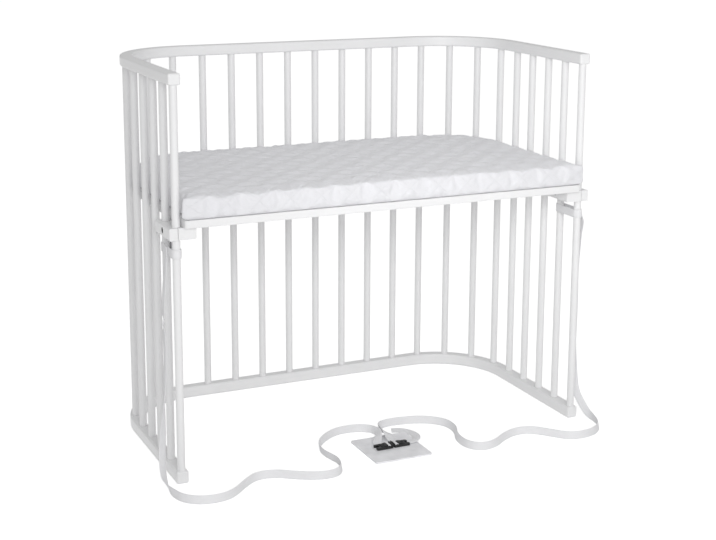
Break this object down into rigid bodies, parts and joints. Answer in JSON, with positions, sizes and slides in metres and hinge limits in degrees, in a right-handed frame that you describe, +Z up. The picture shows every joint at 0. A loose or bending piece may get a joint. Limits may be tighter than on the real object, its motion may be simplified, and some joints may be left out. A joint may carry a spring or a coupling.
{
  "type": "bedside sleeper crib",
  "caption": "Bedside sleeper crib: bentwood rails and dowels round the back and ends, one open side, a quilted mattress on a board clamped at any height, and webbing straps to a bed plate.",
  "frame": {"origin": "on the floor, under the middle of the crib's box without the loose straps", "axes": "+X along the crib's length to the right end, +Y from the open side to the back, +Z up"},
  "size_m": [0.9696, 0.6194, 0.822],
  "materials": {
    "lacquered_frame": "white lacquer, satin",
    "lacquered_board": "white lacquer, satin",
    "quilted_cover": "quilted cotton cover, matte",
    "webbing": "woven webbing, slight sheen",
    "black_plastic": "moulded, fine grain",
    "white_plastic": "sheet, satin",
    "black_steel": "black oxide",
    "zinc_steel": "zinc plated"
  },
  "bodies": {
    "frame": {"bottom_rail": "lacquered_frame", "top_rail": "lacquered_frame", "left_dowel_1": "lacquered_frame", "left_dowel_2": "lacquered_frame", "left_dowel_3": "lacquered_frame", "left_dowel_4": "lacquered_frame", "left_dowel_5": "lacquered_frame", "right_dowel_1": "lacquered_frame", "right_dowel_2": "lacquered_frame", "right_dowel_3": "lacquered_frame", "right_dowel_4": "lacquered_frame", "right_dowel_5": "lacquered_frame", "back_left_dowel_1": "lacquered_frame", "back_left_dowel_2": "lacquered_frame", "back_left_dowel_3": "lacquered_frame", "back_left_dowel_4": "lacquered_frame", "back_right_dowel_1": "lacquered_frame", "back_right_dowel_2": "lacquered_frame", "back_right_dowel_3": "lacquered_frame", "back_right_dowel_4": "lacquered_frame", "back_dowel_1": "lacquered_frame", "back_dowel_2": "lacquered_frame", "back_dowel_3": "lacquered_frame", "back_dowel_4": "lacquered_frame", "back_dowel_5": "lacquered_frame", "back_dowel_6": "lacquered_frame", "back_dowel_7": "lacquered_frame", "back_dowel_8": "lacquered_frame", "strap_left_hanging": "webbing", "strap_left_floor": "webbing", "strap_left_end": "webbing", "strap_right_hanging": "webbing", "strap_right_floor": "webbing", "strap_right_end": "webbing", "strap_right_tail": "webbing", "buckle_left": "black_plastic", "buckle_right": "black_plastic", "strap_plate": "white_plastic"},
    "base": {"lying_board": "lacquered_board", "inner_strip_left": "lacquered_board", "inner_strip_right": "lacquered_board", "inner_strip_back_left": "lacquered_board", "inner_strip_back_right": "lacquered_board", "board_screws": "zinc_steel", "sleeve_nuts": "zinc_steel", "strap_loop_left": "webbing", "strap_loop_right": "webbing"},
    "mattress": {"mattress": "quilted_cover"},
    "clamp_left": {"outer_strip_left": "lacquered_board"},
    "bolt_left": {"clamp_bolt_left": "black_steel"},
    "clamp_right": {"outer_strip_right": "lacquered_board"},
    "bolt_right": {"clamp_bolt_right": "black_steel"},
    "clamp_back_left": {"outer_strip_back_left": "lacquered_board"},
    "bolt_back_left": {"clamp_bolt_back_left": "black_steel"},
    "clamp_back_right": {"outer_strip_back_right": "lacquered_board"},
    "bolt_back_right": {"clamp_bolt_back_right": "black_steel"}
  },
  "joints": [
    {"name": "base_height", "type": "slide", "parent": "frame", "child": "base", "axis": [0, 0, 1], "range_m": [-0.3, 0.05], "deforming": ["strap_left_hanging", "strap_right_hanging"]},
    {"name": "mattress_lift", "type": "slide", "parent": "base", "child": "mattress", "axis": [0, 0, 1], "range_m": [0, 0.3]},
    {"name": "clamp_left_open", "type": "slide", "parent": "base", "child": "clamp_left", "axis": [-1, 0, 0], "range_m": [0, 0.006]},
    {"name": "clamp_right_open", "type": "slide", "parent": "base", "child": "clamp_right", "axis": [1, 0, 0], "range_m": [0, 0.006]},
    {"name": "clamp_back_left_open", "type": "slide", "parent": "base", "child": "clamp_back_left", "axis": [0, 1, 0], "range_m": [0, 0.006]},
    {"name": "clamp_back_right_open", "type": "slide", "parent": "base", "child": "clamp_back_right", "axis": [0, 1, 0], "range_m": [0, 0.006]},
    {"name": "bolt_left_turn", "type": "hinge", "parent": "clamp_left", "child": "bolt_left", "pos_m": [-0.457, -0.19675, 0.512], "axis": [-1, 0, 0], "range_deg": [0, 2160]},
    {"name": "bolt_right_turn", "type": "hinge", "parent": "clamp_right", "child": "bolt_right", "pos_m": [0.457, -0.19675, 0.512], "axis": [1, 0, 0], "range_deg": [0, 2160]},
    {"name": "bolt_back_left_turn", "type": "hinge", "parent": "clamp_back_left", "child": "bolt_back_left", "pos_m": [-0.1375, 0.246, 0.512], "axis": [0, 1, 0], "range_deg": [0, 2160]},
    {"name": "bolt_back_right_turn", "type": "hinge", "parent": "clamp_back_right", "child": "bolt_back_right", "pos_m": [0.1375, 0.246, 0.512], "axis": [0, 1, 0], "range_deg": [0, 2160]}
  ],
  "couplings": [
    {"joint": "bolt_left_turn", "follows": "clamp_left_open", "rad_per_m": 6283.1},
    {"joint": "bolt_right_turn", "follows": "clamp_right_open", "rad_per_m": 6283.1},
    {"joint": "bolt_back_left_turn", "follows": "clamp_back_left_open", "rad_per_m": 6283.1},
    {"joint": "bolt_back_right_turn", "follows": "clamp_back_right_open", "rad_per_m": 6283.1}
  ]
}
